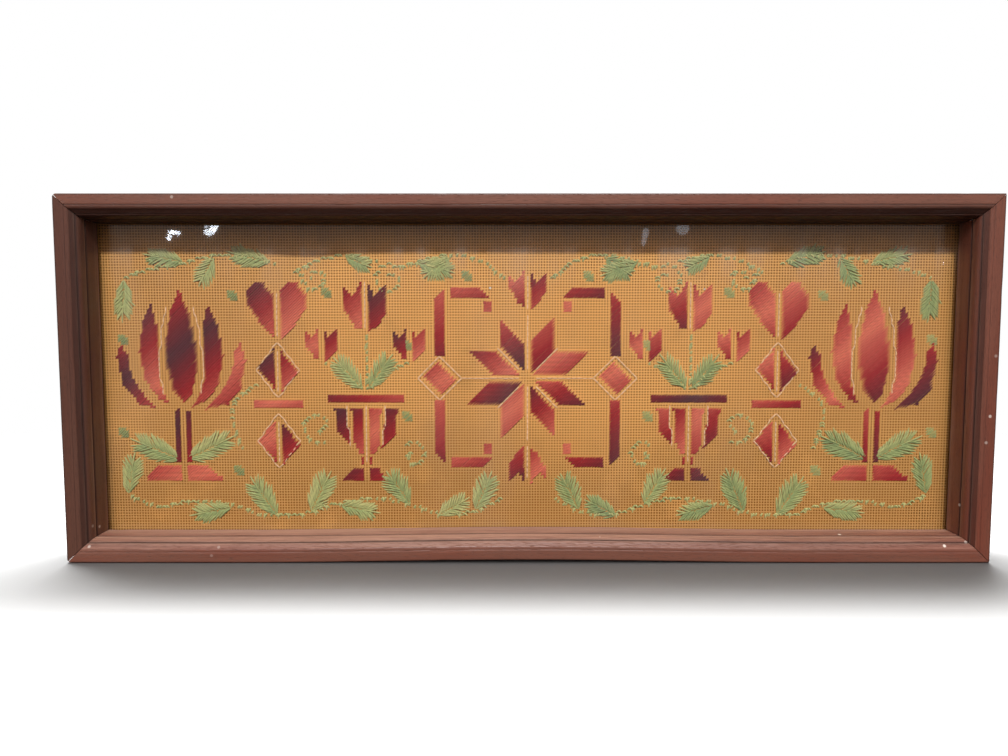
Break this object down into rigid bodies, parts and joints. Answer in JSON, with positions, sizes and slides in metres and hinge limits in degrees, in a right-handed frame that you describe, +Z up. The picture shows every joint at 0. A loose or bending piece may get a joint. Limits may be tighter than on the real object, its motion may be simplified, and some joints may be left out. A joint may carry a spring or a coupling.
{
  "type": "framed wool-worked punched-paper sampler",
  "caption": "Wide wall-hung sampler of coloured wool worked on punched paper, flat under glass in a deep stepped wooden frame with mitred corners and a plain wooden back.",
  "frame": {"origin": "middle of the top rail's back face, where the frame meets the wall", "axes": "+X to the right along the frame seen from the front, +Y out of the frame's back into the wall, +Z up"},
  "size_m": [0.546, 0.034, 0.2156],
  "materials": {
    "stained_hardwood": "reddish brown stain, worn satin",
    "window_glass": "old clear sheet glass, a little hazy",
    "punched_paper": "aged tan card with rows of punched holes",
    "worsted_wool": "shaded reds and sage greens, soft sheen",
    "softwood_board": "bare softwood darkened by age"
  },
  "bodies": {
    "root": {"rail_top": "stained_hardwood", "rail_bottom": "stained_hardwood", "rail_left": "stained_hardwood", "rail_right": "stained_hardwood", "glass_pane": "window_glass", "worked_sheet": "punched_paper", "backing_board": "softwood_board"}
  },
  "joints": []
}
